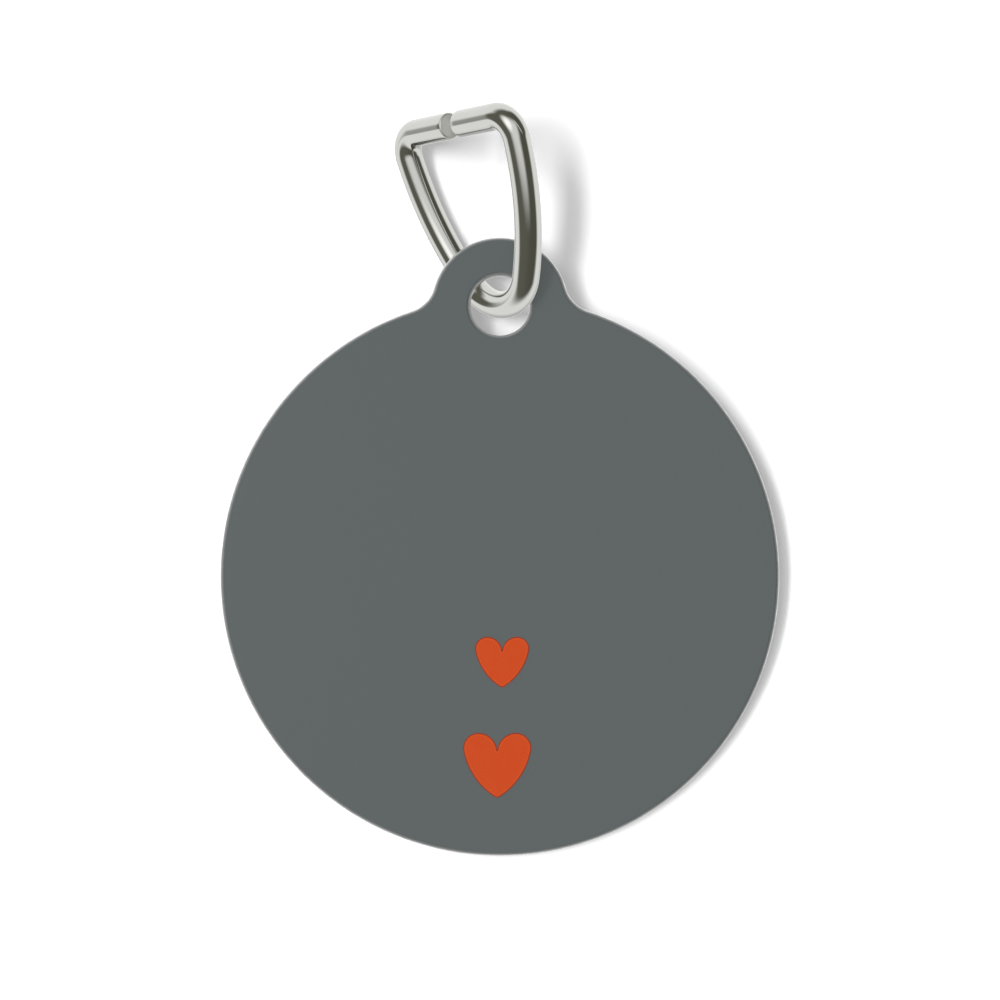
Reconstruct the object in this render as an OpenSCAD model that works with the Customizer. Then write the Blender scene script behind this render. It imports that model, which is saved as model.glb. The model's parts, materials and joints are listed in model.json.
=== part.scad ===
// Round pet tag with an ear, hung on a wire ring bent to a rounded triangle.
// Millimetres, +Z up. The tag's printed face looks towards -Y. The origin is the seat for the
// collar: the middle of the ring's straight bar, on its inner side.

/* [Tag] */
// Diameter of the round blade
tag_d = 32; // [24:0.5:40]
// Thickness of the metal blank
blank_t = 1.1; // [0.8:0.05:1.3]
// From the centre of the blade up to the centre of the hole
hole_rise = 15.5; // [12.5:0.1:19]
// Width of metal around the hole
ear_wall = 2.2; // [1.6:0.1:2.6]
// Radius of the hollow curve where the ear runs into the blade
neck_r = 2; // [1:0.1:4]
// Radius that the stamped edge is rounded to
edge_r = 0.2; // [0.05:0.05:0.35]

/* [Print] */
// Thickness of the white ground coat
ground_t = 0.06; // [0.03:0.01:0.15]
// Thickness of the coloured coat
colour_t = 0.03; // [0.02:0.01:0.08]
// Thickness of the hearts' ink
ink_t = 0.02; // [0.015:0.005:0.05]
// Width of the small heart
small_w = 3.1; // [2:0.1:5]
// Height of the small heart
small_h = 2.9; // [2:0.1:5]
// From the top of the large heart up to the tip of the small one
heart_gap = 2.6; // [1:0.1:4]
// Middle of the small heart, to the right of the blade's centre
small_shift = 0.12; // [-2:0.02:2]
// Width of the large heart
large_w = 3.9; // [2:0.1:5]
// Height of the large heart
large_h = 3.7; // [2:0.1:4.5]
// From the lowest point of the blade up to the tip of the large heart
large_rise = 3.35; // [2:0.05:5]
// Middle of the large heart, to the right of the blade's centre
large_shift = -0.16; // [-2:0.02:2]

/* [Ring] */
// Diameter of the wire
wire_d = 1.55; // [1:0.05:1.9]
// Width of the ring over its top corners
ring_w = 11.6; // [10.5:0.1:13]
// Height of the ring from the bar's top to the bend's bottom
ring_h = 12.2; // [11:0.1:14]
// Radius of the top corners, at the middle of the wire
corner_r = 1.35; // [1:0.05:2]
// Radius of the bottom bend, at the middle of the wire
bend_r = 3; // [2.4:0.1:3.4]
// Radius of the bow of each leg, at the middle of the wire
leg_r = 17; // [14:0.5:30]
// Gap between the wire's ends, in the middle of the bar
gap_w = 0.9; // [0.3:0.05:2]
// Radius that the cut ends of the wire are rounded to
cut_r = 0.12; // [0.05:0.01:0.3]

/* [Hang] */
// How much wider the hole is than the wire
hole_play = 1.85; // [1.75:0.05:2.6]
// Turn of the ring about the vertical, from flat against the tag
ring_turn = -53; // [-56:1:-50]
// Lean of the ring to the left
ring_lean = -15.5; // [-18:0.5:-12]
// Tip of the ring towards the front
ring_tip = 9; // [6:0.5:11]
// Lowest point of the wire, to the right of the hole's centre
thread_x = 0.28; // [0.2:0.01:0.34]
// Lowest point of the wire, behind the hole's centre
thread_y = -0.1; // [-0.16:0.01:0]
// Lowest point of the wire, above the hole's centre
thread_z = 0.07; // [0:0.01:0.15]

/* [Hidden] */
$fn = 72;

tag_r = tag_d / 2;
hole_r = (wire_d + hole_play) / 2;
ear_r = hole_r + ear_wall;
wire_r = wire_d / 2;

// How far every cut runs past the metal
overrun = 1;

// How far the cutter of the neck's curve runs into the blade and the ear
neck_bite = 0.02;

// How far each stretch of wire runs on into the next, and how much a tight bend thins the wire
lap = 0.06;
bend_thin = 0.02;
bent_wire_r = wire_r - bend_thin;

// Outline of both hearts, as shares of a heart's width
lobe_share = 0.277;
notch_share = 0.254;
tip_share = 0.072;
side_share = 1.03;
arc_steps = 14;

// Ring in its own plane: x along the bar, y up, the origin on the bar's inner side
bar_y = wire_r;
bar_half = ring_w / 2 - wire_r - corner_r;
corner_c = [bar_half, bar_y - corner_r];
bend_low = bar_y - (ring_h - wire_d);
bend_c = [0, bend_low + bend_r];
leg_c = holding_centre(corner_c, corner_r, bend_c, bend_r, leg_r);
leg_top = heading(corner_c - leg_c);
leg_end = heading(bend_c - leg_c);
leg_lap = lap / leg_r * 180 / PI;

// Tag in its own plane: x to the right, y up, z to the front, the origin in the hole's centre
blade_c = [0, -hole_rise];
neck_c = touching_centre([0, 0], ear_r, blade_c, tag_r, neck_r - neck_bite);
ground_z = blank_t / 2;
colour_z = ground_z + ground_t;
ink_z = colour_z + colour_t;
large_tip = blade_c[1] - tag_r + large_rise;
small_tip = large_tip + large_h + heart_gap;

// The wire's lowest point, and the hole's centre that hangs on it
wire_low = tipped([0, bend_low]);
hole_c = wire_low - [thread_x, thread_y, thread_z];

function heading(v) = atan2(v[1], v[0]);
function turned(v) = [-v[1], v[0]];
function polar(c, r, a) = c + r * [cos(a), sin(a)];

// Centre of a point that is a from p and b from q, on the left of the way from p to q
function meeting(p, a, q, b) =
    let (d = norm(q - p), u = (q - p) / d, x = (a * a - b * b + d * d) / (2 * d))
    p + x * u + sqrt(a * a - x * x) * turned(u);

// Centre of the circle of radius r that touches two circles and holds both
function holding_centre(p, rp, q, rq, r) = meeting(q, r - rq, p, r - rp);

// Centre of the circle of radius r that touches two circles from outside
function touching_centre(p, rp, q, rq, r) = meeting(p, r + rp, q, r + rq);

// A point of the ring's plane on its middle line, leaned and tipped as the ring is
function tipped(v) =
    let (y = -v[1] * sin(ring_tip), z = v[1] * cos(ring_tip))
    [z * sin(ring_lean), y, z * cos(ring_lean)];

// Points along an arc, its first end left out
function arc(c, r, from, to) =
    [for (i = [1:arc_steps]) polar(c, r, from + (to - from) * i / arc_steps)];

// Right half of a heart, from the notch to the tip. Its top is at y = 0.
function half_heart(w, h) =
    let (
        top = [lobe_share * w, 0],
        notch = notch_share * w,
        inner_r = (top[0] * top[0] + notch * notch) / (2 * notch),
        outer_r = w / 2 - top[0],
        tip_r = tip_share * w,
        side_r = side_share * w,
        inner_c = top - [0, inner_r],
        outer_c = top - [0, outer_r],
        tip_c = [0, tip_r - h],
        side_c = holding_centre(outer_c, outer_r, tip_c, tip_r, side_r)
    )
    concat(
        [[0, -notch]],
        arc(inner_c, inner_r, heading([0, -notch] - inner_c), 90),
        arc(outer_c, outer_r, 90, heading(outer_c - side_c)),
        arc(side_c, side_r, heading(outer_c - side_c), heading(tip_c - side_c)),
        arc(tip_c, tip_r, heading(tip_c - side_c), -90)
    );

// Both halves, without the points that lie on the middle line twice
function heart_outline(w, h) =
    let (right = half_heart(w, h), n = len(right))
    concat(right, [for (i = [n - 2:-1:1]) [-right[i][0], right[i][1]]]);

// Flat disc with a rounded edge, centred on its thickness
module rounded_disc(r, t, e) {
    rotate_extrude() {
        translate([0, -t / 2]) square([r - e, t]);
        translate([0, e - t / 2]) square([r, t - 2 * e]);
        for (s = [-1, 1]) translate([r - e, s * (t / 2 - e)]) circle(r = e);
    }
}

// Round cut of radius r, wider at both faces, so that the edge it leaves is rounded
module rounding_cut(r, t, e) {
    rotate_extrude() difference() {
        translate([0, -t / 2 - overrun]) square([r + e, t + 2 * overrun]);
        translate([r, e - t / 2]) square([e + overrun, t - 2 * e]);
        for (s = [-1, 1]) translate([r + e, s * (t / 2 - e)]) circle(r = e);
    }
}

// Kite between the hole's centre, the blade's centre and the centres of the neck's curves
module neck_web(t) {
    linear_extrude(height = t, center = true)
        polygon([[0, 0], neck_c, blade_c, [-neck_c[0], neck_c[1]]]);
}

// Stamped blank: blade, ear and neck, with every edge rounded
module blank() {
    difference() {
        union() {
            rounded_disc(ear_r, blank_t, edge_r);
            translate(blade_c) rounded_disc(tag_r, blank_t, edge_r);
            neck_web(blank_t);
        }
        for (s = [-1, 1]) translate([s * neck_c[0], neck_c[1]])
            rounding_cut(neck_r, blank_t, edge_r);
        rounding_cut(hole_r, blank_t, edge_r);
    }
}

// Coat on the flat of the face, up to where the edge begins to round
module coat(t) {
    difference() {
        union() {
            cylinder(r = ear_r - edge_r, h = t);
            translate(blade_c) cylinder(r = tag_r - edge_r, h = t);
            translate([0, 0, t / 2]) neck_web(t);
        }
        for (s = [-1, 1]) translate([s * neck_c[0], neck_c[1], -overrun])
            cylinder(r = neck_r + edge_r, h = t + 2 * overrun);
        translate([0, 0, -overrun]) cylinder(r = hole_r + edge_r, h = t + 2 * overrun);
    }
}

module heart(w, h, shift, tip) {
    translate([shift, tip + h, ink_z])
        linear_extrude(height = ink_t) polygon(heart_outline(w, h));
}

// Stands the tag upright with its hole where the ring carries it
module hung() {
    translate(hole_c) rotate([90, 0, 0]) children();
}

// Half of the bar, from the cut end to the corner and a lap further
module bar(s) {
    length = bar_half + lap - gap_w / 2;
    translate([0, bar_y]) rotate([0, s * 90, 0]) rotate_extrude() {
        translate([0, gap_w / 2]) square([wire_r - cut_r, length]);
        translate([0, gap_w / 2 + cut_r]) square([wire_r, length - cut_r]);
        translate([wire_r - cut_r, gap_w / 2 + cut_r]) circle(r = cut_r);
    }
}

// Stretch of wire bent round c, lengthened by the angle on at both ends
module bent(c, r, from, to, thick, on = 0) {
    translate(c) rotate([0, 0, from - on]) rotate_extrude(angle = to - from + 2 * on)
        translate([r, 0]) circle(r = thick);
}

module tag_plate() {
    color("silver") hung() blank();
}

module ground_coat() {
    color("white") hung() translate([0, 0, ground_z]) coat(ground_t);
}

module colour_coat() {
    color("#616767") hung() translate([0, 0, colour_z]) coat(colour_t);
}

module small_heart() {
    color("#cd4f27") hung() heart(small_w, small_h, small_shift, small_tip);
}

module large_heart() {
    color("#cd4f27") hung() heart(large_w, large_h, large_shift, large_tip);
}

module wire_ring() {
    color("gainsboro") rotate([ring_tip, ring_lean, 0]) rotate([0, 0, ring_turn]) rotate([90, 0, 0]) {
        for (s = [-1, 1]) bar(s);
        for (s = [0, 1]) mirror([s, 0, 0]) {
            bent(corner_c, corner_r, leg_top, 90, bent_wire_r);
            bent(leg_c, leg_r, leg_end, leg_top, wire_r, leg_lap);
        }
        bent(bend_c, bend_r, 180 - leg_end, 360 + leg_end, bent_wire_r);
    }
}

tag_plate();
ground_coat();
colour_coat();
small_heart();
large_heart();
wire_ring();
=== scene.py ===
import json
import math

import bmesh
import bpy
from mathutils import Matrix, Vector


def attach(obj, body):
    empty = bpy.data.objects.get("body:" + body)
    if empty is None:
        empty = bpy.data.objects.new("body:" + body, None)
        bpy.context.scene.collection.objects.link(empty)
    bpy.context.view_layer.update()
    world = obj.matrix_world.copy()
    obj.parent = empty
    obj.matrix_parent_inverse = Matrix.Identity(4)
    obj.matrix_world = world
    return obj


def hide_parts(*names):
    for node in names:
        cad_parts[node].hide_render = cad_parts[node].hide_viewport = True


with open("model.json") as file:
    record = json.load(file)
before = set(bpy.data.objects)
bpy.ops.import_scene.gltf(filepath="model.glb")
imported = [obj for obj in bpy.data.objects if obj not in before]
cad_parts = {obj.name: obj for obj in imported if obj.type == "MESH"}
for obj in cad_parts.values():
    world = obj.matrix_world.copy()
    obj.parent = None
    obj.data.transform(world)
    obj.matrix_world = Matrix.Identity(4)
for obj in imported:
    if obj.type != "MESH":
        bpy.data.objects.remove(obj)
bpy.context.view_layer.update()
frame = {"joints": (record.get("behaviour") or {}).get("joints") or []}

# The blank is stamped from 1.1 mm brushed aluminium sheet in one stroke, with its ear and hole. It
# is then tumbled until every edge is round, which leaves fine marks across the brushing. The grey
# that is printed on its front later runs out over the front of its rounded edge.

mm = 0.001
tag_r = 16 * mm
blank_t = 1.1 * mm
hole_rise = 15.5 * mm
hole_r = 1.7 * mm
ear_r = hole_r + 2.2 * mm
neck_r = 2 * mm
edge_r, edge_steps = 0.2 * mm, 8
blade_steps, neck_steps, ear_steps, hole_steps = 300, 24, 96, 96

metal_low, metal_high = (0.60, 0.605, 0.61, 1), (0.78, 0.78, 0.785, 1)
metal_marked = (0.50, 0.505, 0.51, 1)
grey_over = (0.094, 0.107, 0.107, 1)
grey_reach = 0.12 * mm
print_shine = 0.3
noise_span, middle_span = (0.3, 0.7), (0.35, 0.65)

swing = next(j for j in frame["joints"] if j["name"] == "tag_swing")
hole_c = Vector(swing["pos_m"])
ear_c, blade_c = Vector((0, 0)), Vector((0, -hole_rise))


def on_arc(centre, radius, start, end, steps):
    """Points along an arc from one angle to another, the last left out."""
    turns = (start + (end - start) * i / steps for i in range(steps))
    return [centre + radius * Vector((math.cos(a), math.sin(a))) for a in turns]


def tag_outline(inset):
    """The outline of blade, necks and ear, drawn in from the edge, in the plane of the tag."""
    to_ear, to_blade = ear_r + neck_r, tag_r + neck_r
    drop = (to_ear ** 2 - to_blade ** 2 + hole_rise ** 2) / (2 * hole_rise)
    right = Vector((math.sqrt(to_ear ** 2 - drop ** 2), -drop))
    left = Vector((-right.x, right.y))
    at_ear = math.atan2(right.y, right.x)
    at_blade = math.atan2(right.y - blade_c.y, right.x)
    return (
        on_arc(blade_c, tag_r - inset, at_blade, -math.pi - at_blade, blade_steps)
        + on_arc(left, neck_r + inset, -at_blade, -at_ear, neck_steps)
        + on_arc(ear_c, ear_r - inset, math.pi - at_ear, at_ear, ear_steps)
        + on_arc(right, neck_r + inset, math.pi + at_ear, math.pi + at_blade, neck_steps)
    )


def hole_outline(inset):
    return on_arc(ear_c, hole_r + inset, 0, -2 * math.pi, hole_steps)


def upright(point, height):
    """A point of the tag's plane, raised towards the front, in the part's own frame."""
    return hole_c + Vector((point.x, -height, point.y))


def ring_of(mesh, points, height):
    """A closed ring of vertices and edges at the given height."""
    verts = [mesh.verts.new(upright(p, height)) for p in points]
    for i, v in enumerate(verts):
        mesh.edges.new((verts[i - 1], v))
    return verts


def strip(mesh, first, second):
    """A closed strip of faces between two rings."""
    for i in range(len(first)):
        mesh.faces.new((first[i - 1], first[i], second[i], second[i - 1]))


def cover(mesh, rings):
    """Fill what lies between the given closed rings of vertices."""
    border = [mesh.edges.get((ring[i - 1], ring[i])) for ring in rings for i in range(len(ring))]
    bmesh.ops.triangle_fill(mesh, use_beauty=True, edges=border)


def finished(name, mesh):
    """An object made of the given mesh, its faces turned outwards."""
    bmesh.ops.recalc_face_normals(mesh, faces=mesh.faces)
    data = bpy.data.meshes.new(name)
    mesh.to_mesh(data)
    mesh.free()
    data.shade_smooth()
    piece = bpy.data.objects.new(name, data)
    bpy.context.scene.collection.objects.link(piece)
    return piece


def plate(name, profile):
    """A flat solid with the tag's outline and hole. The profile lists (inset, height) from back to front."""
    mesh = bmesh.new()
    backs, fronts = [], []
    for outline in (tag_outline, hole_outline):
        rings = [ring_of(mesh, outline(inset), height) for inset, height in profile]
        for first, second in zip(rings, rings[1:]):
            strip(mesh, first, second)
        backs.append(rings[0])
        fronts.append(rings[-1])
    cover(mesh, backs)
    cover(mesh, fronts)
    return finished(name, mesh)


def rounded(low, high, inset, radius, steps):
    """Profile of a plate from low to high with rounded edges and a flat band just inside them."""
    guard = inset + 2 * radius
    turns = [math.pi / 2 * i / steps for i in range(steps + 1)]
    back = [(inset + radius * (1 - math.sin(a)), low + radius * (1 - math.cos(a))) for a in turns]
    front = [(across, low + high - height) for across, height in reversed(back)]
    return [(guard, low), *back, *front, (guard, high)]


def link(socket, target):
    target.id_data.links.new(socket, target)


def add(nodes, kind, values=None, **sockets):
    """A node with its properties from a table. Inputs go by name, or by place as n0, n1 and so on."""
    node = nodes.new(kind)
    for key, value in (values or {}).items():
        setattr(node, key, value)
    for key, value in sockets.items():
        by_place = key[0] == "n" and key[1:].isdigit()
        socket = node.inputs[int(key[1:]) if by_place else key.replace("_", " ")]
        if isinstance(value, bpy.types.NodeSocket):
            link(value, socket)
        else:
            socket.default_value = value
    return node


def maths(nodes, operation, *values):
    inputs = {"n%d" % i: value for i, value in enumerate(values)}
    return add(nodes, "ShaderNodeMath", {"operation": operation}, **inputs).outputs[0]


def blend(nodes, factor, a, b):
    """A colour between a and b."""
    return add(nodes, "ShaderNodeMix", {"data_type": "RGBA"}, n0=factor, n6=a, n7=b).outputs[2]


def ramp(nodes, value, low, high, start=0.0, end=1.0):
    """A value that goes smoothly from start to end while the given one goes from low to high."""
    node = add(nodes, "ShaderNodeMapRange", {"interpolation_type": "SMOOTHSTEP"},
               Value=value, From_Min=low, From_Max=high, To_Min=start, To_Max=end)
    return node.outputs[0]


def new_group(name, inputs, outputs):
    """An empty shader group: its tree, its nodes, what it is given and what it gives out."""
    tree = bpy.data.node_groups.new(name, "ShaderNodeTree")
    for direction, sockets in (("INPUT", inputs), ("OUTPUT", outputs)):
        for socket, kind in sockets.items():
            tree.interface.new_socket(socket, in_out=direction, socket_type="NodeSocket" + kind)
    nodes = tree.nodes
    return tree, nodes, nodes.new("NodeGroupInput").outputs, nodes.new("NodeGroupOutput").inputs


def put(nodes, tree, **sockets):
    """The outputs of a shader group that is placed in a material."""
    return add(nodes, "ShaderNodeGroup", {"node_tree": tree}, **sockets).outputs


def new_material(name):
    """A material, its nodes, its Principled shader and the place on the piece."""
    made = bpy.data.materials.new(name)
    made.use_nodes = True
    nodes = made.node_tree.nodes
    return made, nodes, nodes["Principled BSDF"], add(nodes, "ShaderNodeTexCoord").outputs["Object"]


def relief(nodes, shader, height, depth, strength):
    """Raise the surface by a pattern of heights from 0 to 1, which stands for the given depth."""
    bump = add(nodes, "ShaderNodeBump", Strength=strength, Distance=depth, Height=height)
    link(bump.outputs[0], shader.inputs["Normal"])


grain, nodes, given, result = new_group(
    "grain", {"Place": "Vector", "Fine": "Float", "Broad": "Float"}, {"Speckle": "Float", "Cloud": "Float"})
for size, target, detail in (("Fine", "Speckle", 2.0), ("Broad", "Cloud", 3.0)):
    scale = maths(nodes, "DIVIDE", 1.0, given[size])
    noise = add(nodes, "ShaderNodeTexNoise", Vector=given["Place"], Scale=scale, Detail=detail)
    link(noise.outputs["Fac"], result[target])

streaks, nodes, given, result = new_group(
    "streaks", {"Place": "Vector", "Length": "Float", "Fine": "Float"}, {"Streak": "Float"})
apart = add(nodes, "ShaderNodeSeparateXYZ", Vector=given["Place"]).outputs
drawn = add(nodes, "ShaderNodeCombineXYZ", X=maths(nodes, "DIVIDE", apart[0], given["Length"]),
            Y=maths(nodes, "DIVIDE", apart[1], given["Fine"]),
            Z=maths(nodes, "DIVIDE", apart[2], given["Fine"]))
lines = add(nodes, "ShaderNodeTexNoise", Vector=drawn.outputs[0], Scale=1.0, Detail=2.0)
link(lines.outputs["Fac"], result["Streak"])

line_w, patch_scale, patch_edge = 0.02, 0.37, (0.5, 0.62)
scratches, nodes, given, result = new_group(
    "scratches", {"Place": "Vector", "Length": "Float", "Spacing": "Float", "Turn": "Float"},
    {"Mark": "Float"})
turned = add(nodes, "ShaderNodeVectorRotate", {"rotation_type": "Y_AXIS"},
             Vector=given["Place"], Angle=given["Turn"])
apart = add(nodes, "ShaderNodeSeparateXYZ", Vector=turned.outputs[0]).outputs
drawn = add(nodes, "ShaderNodeCombineXYZ", X=maths(nodes, "DIVIDE", apart[0], given["Length"]),
            Y=maths(nodes, "DIVIDE", apart[1], given["Spacing"]),
            Z=maths(nodes, "DIVIDE", apart[2], given["Spacing"]))
lines = add(nodes, "ShaderNodeTexNoise", Vector=drawn.outputs[0], Scale=1.0, Detail=1.0)
from_middle = maths(nodes, "ABSOLUTE", maths(nodes, "SUBTRACT", lines.outputs["Fac"], 0.5))
thin_lines = ramp(nodes, from_middle, 0.0, line_w, 1.0, 0.0)
patches = add(nodes, "ShaderNodeTexNoise", Vector=drawn.outputs[0], Scale=patch_scale, Detail=0.0)
shown = ramp(nodes, patches.outputs["Fac"], *patch_edge)
link(maths(nodes, "MULTIPLY", thin_lines, shown), result["Mark"])

satin, nodes, shader, place = new_material("brushed_aluminium")
tumbled = put(nodes, grain, Place=place, Fine=0.06 * mm, Broad=2.5 * mm)
fine_brush = put(nodes, streaks, Place=place, Length=5 * mm, Fine=0.05 * mm)["Streak"]
broad_brush = put(nodes, streaks, Place=place, Length=16 * mm, Fine=0.28 * mm)["Streak"]
brushed = maths(nodes, "MULTIPLY", maths(nodes, "ADD", fine_brush, broad_brush), 0.5)
marks = [put(nodes, scratches, Place=place, Length=length * mm, Spacing=0.05 * mm, Turn=turn)["Mark"]
         for length, turn in ((2.2, 0.9), (3.0, 1.7), (1.6, 2.5))]
marked = maths(nodes, "MAXIMUM", maths(nodes, "MAXIMUM", marks[0], marks[1]), marks[2])
metal = blend(nodes, ramp(nodes, brushed, *middle_span), metal_low, metal_high)
worn_metal = blend(nodes, maths(nodes, "MULTIPLY", marked, 0.35), metal, metal_marked)
front_y = hole_c.y - blank_t / 2
behind = maths(nodes, "SUBTRACT", add(nodes, "ShaderNodeSeparateXYZ", Vector=place).outputs["Y"], front_y)
bare = ramp(nodes, maths(nodes, "SQRT", maths(nodes, "DIVIDE", behind, grey_reach)), 0.05, 1.0)
link(blend(nodes, bare, grey_over, worn_metal), shader.inputs["Base Color"])
link(bare, shader.inputs["Metallic"])
shader.inputs["Specular IOR Level"].default_value = print_shine
dull = maths(nodes, "ADD", ramp(nodes, brushed, *middle_span, 0.36, 0.24),
             maths(nodes, "MULTIPLY", marked, 0.08))
dull = maths(nodes, "ADD", dull, ramp(nodes, tumbled["Cloud"], *middle_span, 0.0, 0.06))
link(dull, shader.inputs["Roughness"])
height = maths(nodes, "ADD", brushed, maths(nodes, "MULTIPLY", tumbled["Speckle"], 0.2))
relief(nodes, shader, maths(nodes, "SUBTRACT", height, marked), 0.004 * mm, 0.3)

blank = plate("blank", rounded(-blank_t / 2, blank_t / 2, 0, edge_r, edge_steps))
blank.data.materials.append(satin)
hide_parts("tag_plate")
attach(blank, "tag")

# The white ground is a thin lacquer sprayed on the front of the blank, up to where its edge starts
# to round. The print lies on it, so only its fine white rim shows.

ground_t = 0.06 * mm
ground_low = blank_t / 2
ground_edge_r, ground_edge_steps = 0.01 * mm, 2
white_low, white_high = (0.80, 0.80, 0.79, 1), (0.86, 0.86, 0.855, 1)

lacquer, nodes, shader, place = new_material("white_lacquer")
sprayed = put(nodes, grain, Place=place, Fine=0.08 * mm, Broad=1.5 * mm)
link(blend(nodes, sprayed["Speckle"], white_low, white_high), shader.inputs["Base Color"])
link(ramp(nodes, sprayed["Cloud"], *noise_span, 0.38, 0.48), shader.inputs["Roughness"])

ground = plate("ground", rounded(ground_low, ground_low + ground_t, edge_r, ground_edge_r, ground_edge_steps))
ground.data.materials.append(lacquer)
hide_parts("ground_coat")
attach(ground, "tag")

# The face is the printed grey with its clear coat, baked on smooth and even. It covers the ground
# and ends with it, and its own edge drew back a little, so it is round too.

face_t = 0.03 * mm
face_low = ground_low + ground_t
face_edge_r, face_edge_steps = 0.012 * mm, 3
grey_low, grey_high = (0.090, 0.103, 0.103, 1), (0.098, 0.111, 0.111, 1)
peel_size = 0.35 * mm

print_grey, nodes, shader, place = new_material("printed_grey")
printed = put(nodes, grain, Place=place, Fine=0.05 * mm, Broad=4 * mm)
link(blend(nodes, printed["Speckle"], grey_low, grey_high), shader.inputs["Base Color"])
shader.inputs["Specular IOR Level"].default_value = print_shine
link(ramp(nodes, printed["Cloud"], *noise_span, 0.22, 0.27), shader.inputs["Roughness"])
peel = add(nodes, "ShaderNodeTexNoise", Vector=place, Scale=1 / peel_size, Detail=1.0)
relief(nodes, shader, peel.outputs["Fac"], 0.002 * mm, 0.1)

face = plate("face", rounded(face_low, face_low + face_t, edge_r, face_edge_r, face_edge_steps))
face.data.materials.append(print_grey)
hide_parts("colour_coat")
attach(face, "tag")

# The two hearts are printed in orange ink on the grey, the smaller above the larger. The ink stands
# a little proud. Its border dried darker, with a paler line just inside.

ink_t = 0.02 * mm
ink_low = face_low + face_t
small_w, small_h, small_shift = 3.1 * mm, 2.9 * mm, 0.12 * mm
large_w, large_h, large_shift = 3.9 * mm, 3.7 * mm, -0.16 * mm
foot_gap, hearts_gap = 3.35 * mm, 2.6 * mm
lobe_share, notch_share, tip_share, side_share = 0.277, 0.254, 0.072, 1.03
arc_steps, notch_steps = 20, 6
edge_in, rim_w, pale_w = 0.002 * mm, 0.085 * mm, 0.2 * mm
orange_low, orange_high = (0.540, 0.055, 0.006, 1), (0.585, 0.068, 0.010, 1)
orange_pale, orange_dried = (0.60, 0.070, 0.010, 1), (0.25, 0.027, 0.008, 1)


def meeting(p, a, q, b):
    """The point that is a from p and b from q, on the left of the way from p to q."""
    away = q - p
    far = away.length
    along = (a * a - b * b + far * far) / (2 * far)
    unit = away / far
    return p + unit * along + Vector((-unit.y, unit.x)) * math.sqrt(a * a - along * along)


def heading(v):
    return math.atan2(v.y, v.x)


def half_heart(w, h, inset):
    """Right half of a heart, drawn in by the inset, from its notch to its tip. The top is at height 0."""
    notch = notch_share * w
    top = Vector((lobe_share * w, 0))
    inner_r = (top.x ** 2 + notch ** 2) / (2 * notch)
    outer_r = w / 2 - top.x
    tip_r, side_r = tip_share * w, side_share * w
    inner_c, outer_c = top - Vector((0, inner_r)), top - Vector((0, outer_r))
    tip_c = Vector((0, tip_r - h))
    side_c = meeting(tip_c, side_r - tip_r, outer_c, side_r - outer_r)
    turn_out, turn_in = heading(outer_c - side_c), heading(tip_c - side_c)
    quarter = math.pi / 2
    low_point = Vector((0, -notch))
    return (
        on_arc(low_point, inset, -quarter, heading(inner_c - low_point), notch_steps)
        + on_arc(inner_c, inner_r - inset, heading(low_point - inner_c), quarter, arc_steps)
        + on_arc(outer_c, outer_r - inset, quarter, turn_out, arc_steps)
        + on_arc(side_c, side_r - inset, turn_out, turn_in, arc_steps)
        + on_arc(tip_c, tip_r - inset, turn_in, -quarter, arc_steps)
        + [tip_c - Vector((0, tip_r - inset))]
    )


def heart(name, w, h, shift, tip):
    """A heart of ink whose tip is at the given height in the tag's plane."""
    mesh = bmesh.new()
    dried = mesh.verts.layers.float.new("dried")
    rings = []
    for inset, height, value in (
            (edge_in, 0, 1.0), (edge_in, ink_t, 1.0), (rim_w, ink_t, 0.5), (pale_w, ink_t, 0.0)):
        right = half_heart(w, h, inset)
        outline = right + [Vector((-p.x, p.y)) for p in reversed(right[1:-1])]
        rings.append(ring_of(mesh, [p + Vector((shift, tip + h)) for p in outline], ink_low + height))
        for v in rings[-1]:
            v[dried] = value
    for first, second in zip(rings, rings[1:]):
        strip(mesh, first, second)
    cover(mesh, rings[:1])
    cover(mesh, rings[-1:])
    piece = finished(name, mesh)
    piece.data.shade_flat()
    return piece


ink, nodes, shader, place = new_material("orange_ink")
inked = put(nodes, grain, Place=place, Fine=0.07 * mm, Broad=0.6 * mm)
body = blend(nodes, ramp(nodes, inked["Speckle"], *noise_span), orange_low, orange_high)
border = add(nodes, "ShaderNodeAttribute", {"attribute_name": "dried"}).outputs["Fac"]
paler = blend(nodes, ramp(nodes, border, 0.0, 0.45), body, orange_pale)
inked_edge = blend(nodes, ramp(nodes, border, 0.48, 0.78), paler, orange_dried)
link(inked_edge, shader.inputs["Base Color"])
shader.inputs["Specular IOR Level"].default_value = print_shine
link(ramp(nodes, inked["Cloud"], *noise_span, 0.34, 0.44), shader.inputs["Roughness"])
relief(nodes, shader, inked["Speckle"], 0.003 * mm, 0.15)

large_tip = blade_c.y - tag_r + foot_gap
small_tip = large_tip + large_h + hearts_gap
small = heart("small_heart_ink", small_w, small_h, small_shift, small_tip)
large = heart("large_heart_ink", large_w, large_h, large_shift, large_tip)
for piece, node in ((small, "small_heart"), (large, "large_heart")):
    piece.data.materials.append(ink)
    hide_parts(node)
    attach(piece, "tag")

# The ring is one length of 1.55 mm steel wire, cut, bent round a former to a rounded triangle and
# nickel plated. Its ends, dulled by the cut, meet at a gap in the straight bar, and its bend hangs
# in the tag's hole.

wire_r, wire_sides = 0.775 * mm, 64
ring_w, ring_h = 11.6 * mm, 12.2 * mm
corner_r, leg_r, bend_r = 1.35 * mm, 17 * mm, 3 * mm
lip_steps, bar_steps, corner_steps, leg_steps, bend_steps = 6, 12, 36, 48, 30
gap_w, cut_r = 0.9 * mm, 0.12 * mm
ring_turn, ring_lean, ring_tip = (math.radians(a) for a in (-53, -15.5, 9))
nickel_low, nickel_high = (0.545, 0.55, 0.52, 1), (0.565, 0.57, 0.54, 1)
nickel_cut = (0.72, 0.725, 0.69, 1)

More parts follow.
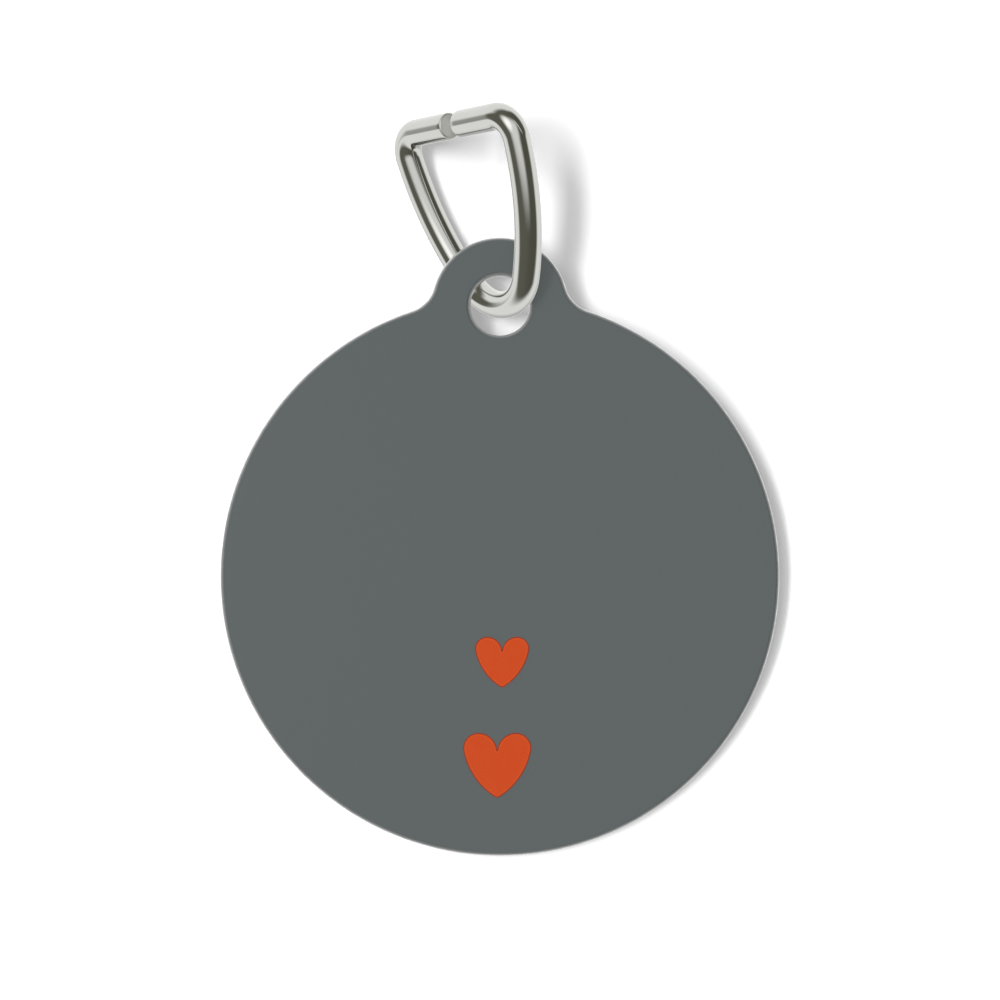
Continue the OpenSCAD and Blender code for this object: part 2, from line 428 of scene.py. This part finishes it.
nickel, nodes, shader, place = new_material("bright_nickel")
drawn = add(nodes, "ShaderNodeAttribute", {"attribute_name": "drawn"}).outputs["Vector"]
plated = put(nodes, grain, Place=place, Fine=0.03 * mm, Broad=1.2 * mm)
draw_lines = put(nodes, streaks, Place=drawn, Length=1.7 * mm, Fine=0.035 * mm)["Streak"]
to_end = add(nodes, "ShaderNodeAttribute", {"attribute_name": "to_end"}).outputs["Fac"]
cut = ramp(nodes, to_end, 0.06 * mm, 0.16 * mm, 1.0, 0.0)
bright = blend(nodes, plated["Cloud"], nickel_low, nickel_high)
link(blend(nodes, cut, bright, nickel_cut), shader.inputs["Base Color"])
shader.inputs["Metallic"].default_value = 1
polish = ramp(nodes, plated["Cloud"], *noise_span, 0.07, 0.11)
link(maths(nodes, "ADD", polish, maths(nodes, "MULTIPLY", cut, 0.38)), shader.inputs["Roughness"])
height = maths(nodes, "ADD", draw_lines, maths(nodes, "MULTIPLY", plated["Speckle"], 0.4))
relief(nodes, shader, height, 0.0005 * mm, 0.1)

bar_half = ring_w / 2 - wire_r - corner_r
corner_c = Vector((bar_half, wire_r - corner_r))
bend_c = Vector((0, wire_r - ring_h + 2 * wire_r + bend_r))
leg_c = meeting(bend_c, leg_r - bend_r, corner_c, leg_r - corner_r)
leg_top, leg_end = heading(corner_c - leg_c), heading(bend_c - leg_c)
lip = [gap_w / 2 + cut_r * (1 - math.cos(math.pi / 2 * i / lip_steps)) for i in range(lip_steps)]
bar_start = gap_w / 2 + cut_r
bar = [bar_start + (bar_half - bar_start) * i / bar_steps for i in range(bar_steps)]
right_side = (
    [Vector((x, wire_r)) for x in lip + bar]
    + on_arc(corner_c, corner_r, math.pi / 2, leg_top, corner_steps)
    + on_arc(leg_c, leg_r, leg_top, leg_end, leg_steps)
    + on_arc(bend_c, bend_r, leg_end, -math.pi / 2, bend_steps)
    + [bend_c - Vector((0, bend_r))]
)
way = right_side + [Vector((-p.x, p.y)) for p in reversed(right_side[:-1])]
leaned = (
    Matrix.Rotation(ring_lean, 3, "Y")
    @ Matrix.Rotation(ring_tip, 3, "X")
    @ Matrix.Rotation(ring_turn, 3, "Z")
    @ Matrix.Rotation(math.pi / 2, 3, "X")
)
way_data = bpy.data.meshes.new("wire_ring_bent")
way_data.from_pydata([leaned @ p.to_3d() for p in way], [(i, i + 1) for i in range(len(way) - 1)], [])
wire = bpy.data.objects.new("wire_ring_bent", way_data)
bpy.context.scene.collection.objects.link(wire)

bending = bpy.data.node_groups.new("bent_wire", "GeometryNodeTree")
sockets = {}
for name, kind in (("Geometry", "Geometry"), ("Wire radius", "Float"), ("Lip radius", "Float"),
                   ("Sides", "Int")):
    sockets[name] = bending.interface.new_socket(name, in_out="INPUT", socket_type="NodeSocket" + kind)
bending.interface.new_socket("Geometry", in_out="OUTPUT", socket_type="NodeSocketGeometry")
nodes = bending.nodes
given, result = nodes.new("NodeGroupInput").outputs, nodes.new("NodeGroupOutput").inputs
line = add(nodes, "GeometryNodeMeshToCurve", Mesh=given["Geometry"])
step = nodes.new("GeometryNodeSplineParameter").outputs["Length"]
whole = nodes.new("GeometryNodeSplineLength").outputs["Length"]
to_end = maths(nodes, "MINIMUM", maths(nodes, "SUBTRACT", whole, step), step)
short = maths(nodes, "MAXIMUM", maths(nodes, "SUBTRACT", given["Lip radius"], to_end), 0.0)
lip_squared = maths(nodes, "MULTIPLY", given["Lip radius"], given["Lip radius"])
rise_squared = maths(nodes, "SUBTRACT", lip_squared, maths(nodes, "MULTIPLY", short, short))
rise = maths(nodes, "SQRT", maths(nodes, "MAXIMUM", rise_squared, 0.0))
thick = maths(nodes, "ADD", maths(nodes, "SUBTRACT", given["Wire radius"], given["Lip radius"]), rise)
slimming = maths(nodes, "DIVIDE", thick, given["Wire radius"])
circle = add(nodes, "GeometryNodeCurvePrimitiveCircle", Resolution=given["Sides"],
             Radius=given["Wire radius"])
on_line = nodes.new("GeometryNodeCaptureAttribute")
on_line.capture_items.new("FLOAT", "Step")
on_line.capture_items.new("FLOAT", "To end")
link(line.outputs["Curve"], on_line.inputs["Geometry"])
link(step, on_line.inputs["Step"])
link(to_end, on_line.inputs["To end"])
on_circle = nodes.new("GeometryNodeCaptureAttribute")
on_circle.capture_items.new("VECTOR", "Spot")
link(circle.outputs["Curve"], on_circle.inputs["Geometry"])
link(nodes.new("GeometryNodeInputPosition").outputs[0], on_circle.inputs["Spot"])
sweep = add(nodes, "GeometryNodeCurveToMesh", Curve=on_line.outputs["Geometry"], Scale=slimming,
            Profile_Curve=on_circle.outputs["Geometry"], Fill_Caps=True)
spot = add(nodes, "ShaderNodeSeparateXYZ", Vector=on_circle.outputs["Spot"]).outputs
unrolled = add(nodes, "ShaderNodeCombineXYZ", X=on_line.outputs["Step"], Y=spot[0], Z=spot[1])
kept = add(nodes, "GeometryNodeStoreNamedAttribute", {"data_type": "FLOAT_VECTOR", "domain": "POINT"},
           Geometry=sweep.outputs["Mesh"], Name="drawn", Value=unrolled.outputs[0])
kept_end = add(nodes, "GeometryNodeStoreNamedAttribute", {"data_type": "FLOAT", "domain": "POINT"},
               Geometry=kept.outputs["Geometry"], Name="to_end", Value=on_line.outputs["To end"])
real = add(nodes, "GeometryNodeRealizeInstances", Geometry=kept_end.outputs["Geometry"])
plating = add(nodes, "GeometryNodeSetMaterial", Geometry=real.outputs["Geometry"], Material=nickel)
link(plating.outputs["Geometry"], result["Geometry"])

bend = wire.modifiers.new("bent_wire", "NODES")
bend.node_group = bending
for name, value in (("Wire radius", wire_r), ("Lip radius", cut_r), ("Sides", wire_sides)):
    bend[sockets[name].identifier] = value
wire.data = bpy.data.meshes.new_from_object(wire.evaluated_get(bpy.context.evaluated_depsgraph_get()))
wire.modifiers.clear()
wire.data.shade_smooth()
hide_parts("wire_ring")
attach(wire, "ring")

# The camera looks at the tag's printed face from straight in front, as the photograph does. The
# picture's middle lies above the middle of the blade.

camera_far = 200 * mm
picture_w = 57.37 * mm
picture_drop = 11.13 * mm
film_w = 36
look_at = hole_c - Vector((0, 0, picture_drop))
camera = bpy.data.objects.new("camera", bpy.data.cameras.new("camera"))
bpy.context.scene.collection.objects.link(camera)
camera.location = look_at - Vector((0, camera_far, 0))
camera.rotation_euler = (math.pi / 2, 0, 0)
camera.data.sensor_width = film_w
camera.data.lens = film_w * camera_far / picture_w
camera.data.clip_start = 10 * mm
bpy.context.scene.camera = camera

# The backdrop is a stiff white card that the tag leans against, so it stands a little further off at
# the ring than at the tag's foot. It has a front only, and is left out when seen from behind. Metal
# sees the room in its place, which is as white there.

card_gap, card_lean = 2.05 * mm, 0.085
card_half, card_mid_z = 300 * mm, -25 * mm
card_white, card_glow = (0.9, 0.9, 0.9, 1), 0.264

card_y = [hole_c.y + card_gap + card_lean * (z - card_mid_z) for z in (-card_half, card_half)]
card = bpy.data.meshes.new("backdrop")
card.from_pydata([(-card_half, card_y[0], -card_half), (card_half, card_y[0], -card_half),
                  (card_half, card_y[1], card_half), (-card_half, card_y[1], card_half)], [], [(0, 1, 2, 3)])
backdrop = bpy.data.objects.new("backdrop", card)
bpy.context.scene.collection.objects.link(backdrop)
backdrop.visible_glossy = False
paper, nodes, shader, _ = new_material("white_card")
shader.inputs["Base Color"].default_value = card_white
shader.inputs["Roughness"].default_value = 1
shader.inputs["Specular IOR Level"].default_value = 0
shader.inputs["Emission Color"].default_value = (1, 1, 1, 1)
path = add(nodes, "ShaderNodeLightPath").outputs
seen = maths(nodes, "MAXIMUM", maths(nodes, "MAXIMUM", path["Is Camera Ray"], path["Is Glossy Ray"]),
             path["Is Transmission Ray"])
link(maths(nodes, "MULTIPLY", seen, card_glow), shader.inputs["Emission Strength"])
from_behind = add(nodes, "ShaderNodeNewGeometry").outputs["Backfacing"]
clear = add(nodes, "ShaderNodeBsdfTransparent")
sided = add(nodes, "ShaderNodeMixShader", n0=from_behind, n1=shader.outputs[0], n2=clear.outputs[0])
link(sided.outputs[0], nodes["Material Output"].inputs["Surface"])
card.materials.append(paper)

# A tall soft lamp on the left makes the shadow, and a rounder one beside it softens it. The tag has
# two lamps of its own in their place, and the ring shades it from one of them only. The ring mirrors
# neither the lamps nor the tag.

lamp_far = 2000 * mm
tall_place = (-0.342, 0.114, 0.059, 0.235)
round_place = (-0.277, 0.007, 0.175, 0.175)


def group_of(name, pieces):
    made = bpy.data.collections.new(name)
    for piece in pieces:
        made.objects.link(piece)
    return made


def lamp(name, side, up, half_w, half_h, level, lit, shading=None):
    """A lamp in the direction of the slopes side and up. The level is how bright it makes a white face."""
    data = bpy.data.lights.new(name, "AREA")
    data.shape = "RECTANGLE" if half_w != half_h else "DISK"
    data.size, data.size_y = 2 * half_w * lamp_far, 2 * half_h * lamp_far
    towards = Vector((side, -1, up)) * lamp_far
    data.energy = level * math.pi ** 2 * towards.length ** 3 / lamp_far
    made = bpy.data.objects.new(name, data)
    bpy.context.scene.collection.objects.link(made)
    made.location = look_at + towards
    made.rotation_euler = (-towards).to_track_quat("-Z", "Y").to_euler()
    made.visible_camera = made.visible_glossy = False
    made.light_linking.receiver_collection = lit
    made.light_linking.blocker_collection = shading


tag_layers = (blank, ground, face, small, large)
for piece in tag_layers:
    piece.visible_glossy = False
tag_pieces = group_of("tag_pieces", tag_layers)
ring_and_card = group_of("ring_and_card", (wire, backdrop))
lamp("tall_left", *tall_place, 0.500, ring_and_card)
lamp("round_left", *round_place, 0.308, ring_and_card)
lamp("tag_left", *tall_place, 0.200, tag_pieces)
lamp("tag_left_soft", *round_place, 0.608, tag_pieces, tag_pieces)

# The room fills in the shade. Metal sees it as white behind, and as dark in front with one soft box,
# a glow beside it and a light strip on the right. A dark flag on the left draws the line along the
# ring's bar.

fill_light = (0.25, 0.25, 0.25, 1)
white_wall, low_wall = (1.16, 1.16, 1.16, 1), (0.45, 0.45, 0.46, 1)
dark_left, dark_right = (0.160, 0.157, 0.129, 1), (0.120, 0.119, 0.095, 1)
box_light, glow_light, strip_light = (1.04, 1.04, 1.04, 1), (2.15, 2.15, 2.15, 1), (0.9, 0.9, 0.9, 1)
glow_way = (-0.540, -0.775, 0.328)
strip_slopes, strip_at = (0.587, 0.810), 1.15
flag_depth, upper_right_depth, low_depth = 0.38, 0.17, 0.14


def product(nodes, first, *others):
    for value in others:
        first = maths(nodes, "MULTIPLY", first, value)
    return first


room = bpy.data.worlds.new("room")
bpy.context.scene.world = room
room.use_nodes = True
nodes = room.node_tree.nodes
away = add(nodes, "ShaderNodeTexCoord").outputs["Generated"]
x, y, z = add(nodes, "ShaderNodeSeparateXYZ", Vector=away).outputs
front = maths(nodes, "MAXIMUM", maths(nodes, "MULTIPLY", y, -1.0), 0.05)
side, up = maths(nodes, "DIVIDE", x, front), maths(nodes, "DIVIDE", z, front)

dark = blend(nodes, ramp(nodes, x, -0.6, 0.6), dark_left, dark_right)
box = product(
    nodes, ramp(nodes, side, -1.13, -0.24), ramp(nodes, side, 0.8, 0.19),
    ramp(nodes, up, -1.12, -0.29), ramp(nodes, up, 1.44, 0.5), ramp(nodes, y, 0.0, -0.2))
with_box = blend(nodes, box, dark, box_light)
slant = maths(nodes, "ADD", maths(nodes, "MULTIPLY", side, strip_slopes[0]),
              maths(nodes, "MULTIPLY", up, strip_slopes[1]))
strip_off = maths(nodes, "ABSOLUTE", maths(nodes, "SUBTRACT", slant, strip_at))
strip_on = product(
    nodes, ramp(nodes, strip_off, 0.22, 0.06), ramp(nodes, side, 0.3, 0.6), ramp(nodes, up, 0.25, 0.55))
with_strip = blend(nodes, strip_on, with_box, strip_light)
facing = add(nodes, "ShaderNodeVectorMath", {"operation": "DOT_PRODUCT"}, n0=away, n1=glow_way)
with_glow = blend(nodes, ramp(nodes, facing.outputs["Value"], 0.865, 1.06), with_strip, glow_light)

flag = product(
    nodes, ramp(nodes, x, -0.05, -0.8), ramp(nodes, z, 0.55, 0.07), ramp(nodes, z, -0.33, -0.19))
upper_right = product(nodes, ramp(nodes, z, 0.12, 0.42), ramp(nodes, x, 0.0, 0.4))
horizon = y
for depth in (maths(nodes, "MULTIPLY", flag, flag_depth),
              maths(nodes, "MULTIPLY", upper_right, upper_right_depth),
              ramp(nodes, z, -0.15, -0.55, 0.0, low_depth)):
    horizon = maths(nodes, "SUBTRACT", horizon, depth)
surround = blend(nodes, ramp(nodes, horizon, -0.27, 0.10), with_glow, white_wall)
far_wall = blend(nodes, ramp(nodes, z, -0.8, 0.6), low_wall, white_wall)
whole_room = blend(nodes, ramp(nodes, y, 0.5, 0.95), surround, far_wall)

path = add(nodes, "ShaderNodeLightPath").outputs
mirrored = maths(nodes, "MAXIMUM", path["Is Glossy Ray"], path["Is Transmission Ray"])
direct = maths(nodes, "LESS_THAN", path["Diffuse Depth"], 0.5)
for_metal = blend(nodes, maths(nodes, "MULTIPLY", mirrored, direct), fill_light, whole_room)
link(blend(nodes, path["Is Camera Ray"], for_metal, (1, 1, 1, 1)), nodes["Background"].inputs["Color"])
bpy.context.scene.view_settings.view_transform = "Standard"
